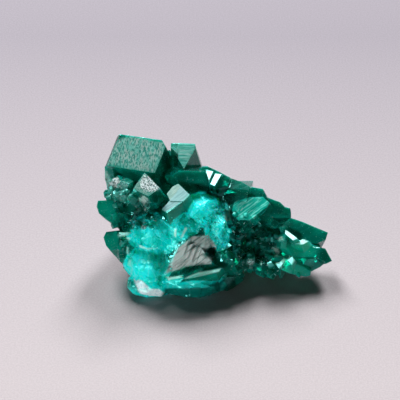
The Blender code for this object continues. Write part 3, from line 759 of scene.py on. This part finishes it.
def crystal_shape():
    """A short six-sided crystal with a three-faced point."""
    points = []
    for k in range(6):
        turn = math.tau * k / 6
        x, y = math.cos(turn), math.sin(turn)
        points += [(x, y, -1.0), (x, y, 0.35 if k % 2 else 0.6)]
    return hull("crystal_shape", [*points, (0.0, 0.0, 1.0)])


# What can be set when a shape is strewn. Turned says how far the copies look along Facing and not straight
# out of the surface, Run is the way their length lies, and Spin is how far they may turn from it.
STREW_INPUTS = (
    ("Host", "NodeSocketObject"),
    ("Shape", "NodeSocketObject"),
    ("Where", "NodeSocketString"),
    ("Count", "NodeSocketFloat"),
    ("Smallest", "NodeSocketVector"),
    ("Largest", "NodeSocketVector"),
    ("Facing", "NodeSocketVector"),
    ("Turned", "NodeSocketFloat"),
    ("Lean", "NodeSocketFloat"),
    ("Run", "NodeSocketVector"),
    ("Spin", "NodeSocketFloat"),
    ("Seed", "NodeSocketInt"),
    ("Material", "NodeSocketMaterial"),
)


def strew_tree():
    """Strews copies of a small shape over a mesh, as thickly as one of its attributes says."""
    tree = bpy.data.node_groups.new("strew", "GeometryNodeTree")
    tree.is_modifier = True
    for name, kind in STREW_INPUTS:
        tree.interface.new_socket(name, in_out="INPUT", socket_type=kind)
    tree.interface.new_socket("Geometry", in_out="OUTPUT", socket_type="NodeSocketGeometry")
    given = tree.nodes.new("NodeGroupInput").outputs

    def node(kind, feeds=(), **settings):
        return add_node(tree, kind, feeds, **settings)

    def drawn(step, feeds, data_type="FLOAT_VECTOR"):
        """A random value for each copy."""
        seed = node("ShaderNodeMath", {0: given["Seed"], 1: step}, operation="ADD").outputs[0]
        return node("FunctionNodeRandomValue", {**feeds, "Seed": seed}, data_type=data_type)

    host = node("GeometryNodeObjectInfo", {"Object": given["Host"]})
    shape = node("GeometryNodeObjectInfo", {"Object": given["Shape"]})
    share = node("GeometryNodeInputNamedAttribute", {"Name": given["Where"]}, data_type="FLOAT")
    feeds = {0: share.outputs["Attribute"], 1: given["Count"]}
    count = node("ShaderNodeMath", feeds, operation="MULTIPLY").outputs[0]
    spots = node(
        "GeometryNodeDistributePointsOnFaces",
        {"Mesh": host.outputs["Geometry"], "Density": count, "Seed": given["Seed"]},
        distribute_method="RANDOM",
    )
    feeds = {0: given["Turned"], 4: spots.outputs["Normal"], 5: given["Facing"]}
    facing = node("ShaderNodeMix", feeds, data_type="VECTOR").outputs[1]
    wander = drawn(1, {0: (-1.0, -1.0, -1.0), 1: (1.0, 1.0, 1.0)}).outputs[0]
    lean = node("ShaderNodeVectorMath", {0: wander, "Scale": given["Lean"]}, operation="SCALE").outputs[0]
    outward = node("ShaderNodeVectorMath", {0: facing, 1: lean}, operation="ADD").outputs[0]
    stood = node("FunctionNodeAlignRotationToVector", {"Vector": outward}, axis="Z").outputs[0]
    feeds = {"Rotation": stood, "Vector": given["Run"]}
    laid = node("FunctionNodeAlignRotationToVector", feeds, axis="X", pivot_axis="Z").outputs[0]
    back = node("ShaderNodeMath", {0: given["Spin"], 1: -1.0}, operation="MULTIPLY").outputs[0]
    angle = drawn(2, {2: back, 3: given["Spin"]}, "FLOAT").outputs[1]
    turns = node("ShaderNodeCombineXYZ", {"Z": angle}).outputs[0]
    spin = node("FunctionNodeEulerToRotation", {0: turns}).outputs[0]
    feeds = {"Rotation": laid, "Rotate By": spin}
    spun = node("FunctionNodeRotateRotation", feeds, rotation_space="LOCAL").outputs[0]
    size = drawn(3, {0: given["Smallest"], 1: given["Largest"]}).outputs[0]
    copies = node(
        "GeometryNodeInstanceOnPoints",
        {
            "Points": spots.outputs["Points"],
            "Instance": shape.outputs["Geometry"],
            "Rotation": spun,
            "Scale": size,
        },
    )
    real = node("GeometryNodeRealizeInstances", {"Geometry": copies.outputs[0]})
    coated = node("GeometryNodeSetMaterial", {"Geometry": real.outputs[0], "Material": given["Material"]})
    node("NodeGroupOutput", {0: coated.outputs[0]})
    return tree


def strewn_piece(name, slot, shape, material, count, smallest, largest, **inputs):
    """A piece made of many copies of a small shape, standing on the crystals.

    The count is for one square millimetre, and the sizes are half of the copies' own.
    """
    tree = bpy.data.node_groups.get("strew") or strew_tree()
    values = {
        "Host": bpy.data.objects["dioptase_crystals"],
        "Shape": shape,
        "Material": material,
        "Count": count / MM**2,
        "Smallest": tuple(size * MM for size in smallest),
        "Largest": tuple(size * MM for size in largest),
        "Facing": tuple(turned(FLASH)),
        "Turned": 0.0,
        "Run": (1.0, 0.0, 0.0),
        "Spin": math.pi,
        **inputs,
    }
    holder = placed("holder", bpy.data.meshes.new("holder"))
    modifier = holder.modifiers.new("strew", "NODES")
    modifier.node_group = tree
    for item in tree.interface.items_tree:
        if item.in_out == "INPUT":
            modifier[item.identifier] = values[item.name]
    depsgraph = bpy.context.evaluated_depsgraph_get()
    mesh = bpy.data.meshes.new_from_object(holder.evaluated_get(depsgraph))
    holder.modifiers.clear()
    bpy.data.objects.remove(holder)
    bpy.data.objects.remove(shape)
    return as_piece(name, mesh, material)


def as_piece(name, mesh, material):
    """A finished piece that rides on the specimen."""
    mesh.name = name
    mesh.materials.clear()
    mesh.materials.append(material)
    piece = placed(name, mesh)
    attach(piece, BODY)
    return piece


def colour(name, description, value):
    """A colour that the user can change."""
    return bpy.props.FloatVectorProperty(
        name=name, description=description, subtype="COLOR", size=4, default=(*value, 1.0)
    )


class DioptaseLook(bpy.types.PropertyGroup):
    """Colours and see-through depth of the mineral."""

    # Whole crystals
    green: colour("Green", "Body colour of the crystals", (0.0, 0.37, 0.28))
    deep_green: colour("Deep green", "Body colour in darker clouds", (0.0, 0.22, 0.16))
    # Painted glow: the green of crystals that light passes through
    painted_glow_green: colour("Bright green", "Crystals that light passes through", (0.0, 0.75, 0.5))
    black_green: colour("Black green", "Shaded clefts between crystals", (0.0, 0.05, 0.035))
    # Veils and ribs, and the painted highlight along the crystals' edges
    streak_and_edge_highlight: colour("Streak", "Veils, ribs and worn edges", (0.2, 0.75, 0.65))
    mint: colour("Mint", "Pale dots, thin blades and crests", (0.5, 0.92, 0.8))

    # The shattered mass
    teal: colour("Teal", "Deeper parts of the shattered mass", (0.0, 0.72, 0.62))
    turquoise: colour("Turquoise", "Freshly shattered mineral", (0.0, 0.95, 0.86))
    # Painted glow: the turquoise where light passes through the shattered mass
    painted_glow_turquoise: colour("Fresh", "Brightest parts of the shattered mass", (0.02, 1.0, 0.95))
    crust: colour("Crust", "Crumbs on the shattered mass", (0.12, 0.85, 0.8))

    # Etched faces
    frost: colour("Frost", "Etched crystal faces", (0.085, 0.27, 0.22))
    dusty: colour("Dusty", "Etched faces, greyer patches", (0.19, 0.28, 0.25))
    shaded_frost: colour("Shaded frost", "Pits in the etched faces", (0.0, 0.1, 0.07))

    # Split and crusted faces
    # The cleavage faces' own greyish colour and painted sheen
    grey: colour("Grey", "Layered cleavage face", (0.46, 0.52, 0.5))
    blue_white: colour("Blue white", "Split plates, on the ribs", (0.18, 0.215, 0.225))
    lavender: colour("Lavender", "Split plates, between ribs", (0.11, 0.14, 0.165))
    cream: colour("Cream", "Cream plate, on the ribs", (0.21, 0.2, 0.165))
    sand: colour("Sand", "Cream plate, between ribs", (0.12, 0.12, 0.1))
    # Painted glints and sparkle: the white of the glint patches and of the specks on the crusts
    painted_glint_white: colour("Milk", "Whitish broken crusts", (0.86, 0.95, 0.97))
    # Painted glint: the lilac-white patch at the foot, between its ribs
    lilac: colour("Lilac", "Chalky crust, between ribs", (0.62, 0.78, 0.85))
    # Painted glint on the facets that mirror the small lamp
    flash: colour("Flash", "Bare cleavage facets", (0.5, 0.82, 0.74))
    silver: colour("Silver", "Strewn cleavage flakes", (0.36, 0.46, 0.47))

    # Depth and shape
    let_through: bpy.props.FloatVectorProperty(
        name="Let through",
        description="Colour that light keeps inside",
        subtype="COLOR",
        default=(0.0, 0.853, 0.812),
    )
    absorption: bpy.props.FloatProperty(
        name="Absorption", description="How quickly light dies inside, per metre", default=800.0
    )
    clearness: bpy.props.FloatProperty(
        name="Clearness",
        description="Share of light that enters a crystal",
        subtype="FACTOR",
        default=0.72,
        min=0,
        max=1,
    )
    detail: bpy.props.FloatProperty(
        name="Detail", description="Length of the finest triangles", subtype="DISTANCE", default=0.00022
    )
    worn: bpy.props.FloatProperty(
        name="Worn edges",
        description="How far the crystals' edges are rounded",
        subtype="FACTOR",
        default=0.08,
    )


class DioptaseStage(bpy.types.PropertyGroup):
    """Floor, light and camera."""

    brightness: bpy.props.FloatProperty(
        name="Brightness", description="Share of each lamp's power", default=1.0
    )
    reach: bpy.props.FloatProperty(
        name="Reach", description="Distance of the lamps", unit="LENGTH", default=0.5
    )
    fill: bpy.props.FloatProperty(
        name="Fill", description="Strength of the light from all round", default=0.012
    )
    # Painted light falloff: the paper is painted lighter in front and darker behind
    near_floor: colour("Near floor", "Colour of the paper in front", (0.4, 0.36, 0.375))
    far_floor: colour("Far floor", "Colour of the paper behind", (0.205, 0.187, 0.213))


class DIOPTASE_OT_crystals(bpy.types.Operator):
    """Finishes the crystals and the broken mass that they stand on"""

    bl_idname = "dioptase.crystals"
    bl_label = "Crystals"

    def execute(self, context):
        look = context.scene.dioptase_look
        mesh = fine_mesh(look.detail / MM)
        surface = Surface(mesh)
        places = from_front(surface.points)
        turquoise = lobe_share(places)
        shares = {name: finish_share(surface, places, name) for name in FINISHES}
        run = grain_places(surface, places)
        # The crystals' convex edges, where a highlight is painted
        edge = surface.creases() * surface.bulges() * (1.0 - turquoise)
        at_points = {name: surface.from_corners(share)[:, 0] for name, share in shares.items()}
        plates = ("pale", "milky", "chalky", "flash")
        calm = 1.0 - np.clip(sum(at_points[name] for name in plates), 0, 1)
        ribbed = np.maximum(at_points["striated"], at_points["grey"])
        along_grain = surface.from_corners(run)
        broken = turquoise * calm * (1.0 - at_points["grey"])

        # Broken places are rounded first, so that their own relief stands out
        surface.relax(0.7 * broken, rounds=8)
        surface.relax(0.5 * at_points["grey"], rounds=4)
        surface.relax(look.worn * surface.creases() * (1.0 - turquoise) * calm, rounds=1)

        normals = surface.point_normals()
        crumbly = broken * (0.5 + 0.5 * at_points["granular"])
        rise = UNEVEN_HEIGHT * swell(surface.points, size=1.4) * (1.0 - turquoise)
        rise += where(broken, surface.points, lambda spots: shattered(spots, size=1.5, tilt=0.26, seed=1))
        rise += where(crumbly, surface.points, lambda spots: shattered(spots, size=0.5, tilt=0.3, seed=2))
        rise += RIB_HEIGHT * where(ribbed, along_grain, lambda spots: swell(spots, size=0.5, octaves=2))
        pitted = where(at_points["etched"], along_grain, lambda spots: swell(spots, size=0.4, octaves=2))
        rise += PIT_HEIGHT * pitted
        surface.points += normals * rise[:, None]

        mesh.vertices.foreach_set("co", (surface.points * MM).ravel())
        set_attribute(mesh, "turquoise", turquoise, "POINT")
        set_attribute(mesh, "edge", edge, "POINT")
        set_attribute(mesh, "grain", run, "CORNER", "FLOAT_VECTOR", "vector")
        for name, share in shares.items():
            set_attribute(mesh, name, share, "CORNER")
        mesh.update()
        mesh.shade_smooth()
        mesh.set_sharp_from_angle(angle=SHARP)
        piece = as_piece("dioptase_crystals", mesh, dioptase_material(look))
        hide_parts(NODE)
        return {"FINISHED"}


class DIOPTASE_OT_grains(bpy.types.Operator):
    """Strews crumbs over the shattered turquoise mass"""

    bl_idname = "dioptase.grains"
    bl_label = "Grains"

    def execute(self, context):
        look = context.scene.dioptase_look
        strewn_piece(
            "turquoise_grains",
            "turquoise_fracture",
            grain_shape(),
            chip_material("turquoise_crumbs", look.turquoise, look.crust, 0.15),
            count=1.6,
            smallest=(0.05, 0.05, 0.03),
            largest=(0.2, 0.15, 0.1),
            Where="granular",
            Lean=0.6,
            Seed=3,
        )
        return {"FINISHED"}


class DIOPTASE_OT_flakes(bpy.types.Operator):
    """Strews glinting cleavage flakes over the deep green crystals and the broken mass"""

    bl_idname = "dioptase.flakes"
    bl_label = "Flakes"

    def execute(self, context):
        look = context.scene.dioptase_look
        strewn_piece(
            "cleavage_flakes",
            "emerald_crystal",
            flake_shape(),
            chip_material("flake_glass", look.streak_and_edge_highlight, look.silver, 0.12),
            count=1.0,
            smallest=(0.1, 0.02, 0.012),
            largest=(0.5, 0.05, 0.02),
            Where="sparkling",
            Turned=0.8,
            Lean=0.16,
            Run=tuple(turned((1.0, 0.6, 0.0))),
            Seed=11,
        )
        return {"FINISHED"}


class DIOPTASE_OT_druse(bpy.types.Operator):
    """Strews small crystals between the large ones"""

    bl_idname = "dioptase.druse"
    bl_label = "Druse"

    def execute(self, context):
        strewn_piece(
            "druse_crystals",
            "emerald_crystal",
            crystal_shape(),
            bpy.data.objects["dioptase_crystals"].active_material,
            count=0.45,
            smallest=(0.2, 0.2, 0.35),
            largest=(0.5, 0.5, 0.8),
            Where="sparkling",
            Lean=0.5,
            Seed=23,
        )
        return {"FINISHED"}


class DIOPTASE_OT_stage(bpy.types.Operator):
    """Sets up the floor, the lamps and the camera"""

    bl_idname = "dioptase.stage"
    bl_label = "Stage"

    def execute(self, context):
        stage = context.scene.dioptase_stage
        bm = bmesh.new()
        bmesh.ops.create_grid(bm, x_segments=1, y_segments=1, size=FLOOR_REACH)
        mesh = bpy.data.meshes.new("floor")
        bm.to_mesh(mesh)
        bm.free()
        mesh.materials.append(floor_material(stage))
        floor = placed("floor", mesh)

        for name, power, size, direction in LIGHTS:
            add_lamp(name, power * stage.brightness, size, stage.reach, direction)

        world = bpy.data.worlds.new("room")
        world.use_nodes = True
        background = world.node_tree.nodes["Background"]
        background.inputs["Color"].default_value = ROOM_LIGHT
        background.inputs["Strength"].default_value = stage.fill
        context.scene.world = world
        context.scene.view_settings.view_transform = "Standard"

        lens = bpy.data.cameras.new("camera")
        lens.sensor_width = SENSOR
        lens.lens = SENSOR * CAMERA_DISTANCE / FRAME_WIDTH
        lens.clip_start = NEAR_CLIP
        camera = placed("camera", lens)
        middle = to_world((*VIEW_MIDDLE, 0.0))
        back = turned(OUTWARD)
        camera.location = (middle + back * CAMERA_DISTANCE) * MM
        camera.rotation_euler = Vector(back).to_track_quat("Z", "Y").to_euler()
        context.scene.camera = camera
        return {"FINISHED"}


def add_lamp(name, power, size, reach, direction):
    """A soft light that faces the specimen from this direction."""
    light = bpy.data.lights.new(name, "AREA")
    light.energy = power
    light.shape = "RECTANGLE"
    light.size, light.size_y = size
    lamp = placed(name, light)
    away = Vector(direction).normalized()
    lamp.location = away * reach
    lamp.rotation_euler = away.to_track_quat("Z", "Y").to_euler()


def floor_material(stage):
    """Matt pale paper with a fine grain, painted lighter toward the viewer as light that falls off toward
    the back.
    """
    s = Shader("floor_paper")
    place = s.millimetres()
    grain = s.remap(s.grain(place, 0.25, detail=2.0), 0.3, 0.7, 0.93, 1.07)
    parts = s.node("ShaderNodeSeparateXYZ", {"Vector": place})
    nearness = s.remap(parts.outputs["Y"], *FLOOR_FADE, interpolation="LINEAR")
    painted_falloff = s.mix(nearness, stage.far_floor, stage.near_floor)
    shade = s.node("ShaderNodeVectorMath", {0: painted_falloff, "Scale": grain}, operation="SCALE")
    return s.finish(Base_Color=shade.outputs[0], Roughness=0.9)


class DIOPTASE_PT_panel(bpy.types.Panel):
    bl_idname = "DIOPTASE_PT_panel"
    bl_label = "Dioptase"
    bl_space_type = "VIEW_3D"
    bl_region_type = "UI"
    bl_category = "Dioptase"

    def draw(self, context):
        for group in (context.scene.dioptase_look, context.scene.dioptase_stage):
            for name in group.bl_rna.properties.keys():
                if name not in ("rna_type", "name"):
                    self.layout.prop(group, name)
        for name in ("crystals", "druse", "grains", "flakes", "stage"):
            self.layout.operator("dioptase." + name)


CLASSES = (
    DioptaseLook,
    DioptaseStage,
    DIOPTASE_OT_crystals,
    DIOPTASE_OT_druse,
    DIOPTASE_OT_grains,
    DIOPTASE_OT_flakes,
    DIOPTASE_OT_stage,
    DIOPTASE_PT_panel,
)


def register():
    for cls in CLASSES:
        bpy.utils.register_class(cls)
    bpy.types.Scene.dioptase_look = bpy.props.PointerProperty(type=DioptaseLook)
    bpy.types.Scene.dioptase_stage = bpy.props.PointerProperty(type=DioptaseStage)


def unregister():
    del bpy.types.Scene.dioptase_stage
    del bpy.types.Scene.dioptase_look
    for cls in reversed(CLASSES):
        bpy.utils.unregister_class(cls)


def main():
    register()
    bpy.ops.dioptase.stage()
    bpy.ops.dioptase.crystals()
    bpy.ops.dioptase.druse()
    bpy.ops.dioptase.grains()
    bpy.ops.dioptase.flakes()


if __name__ == "__main__":
    main()
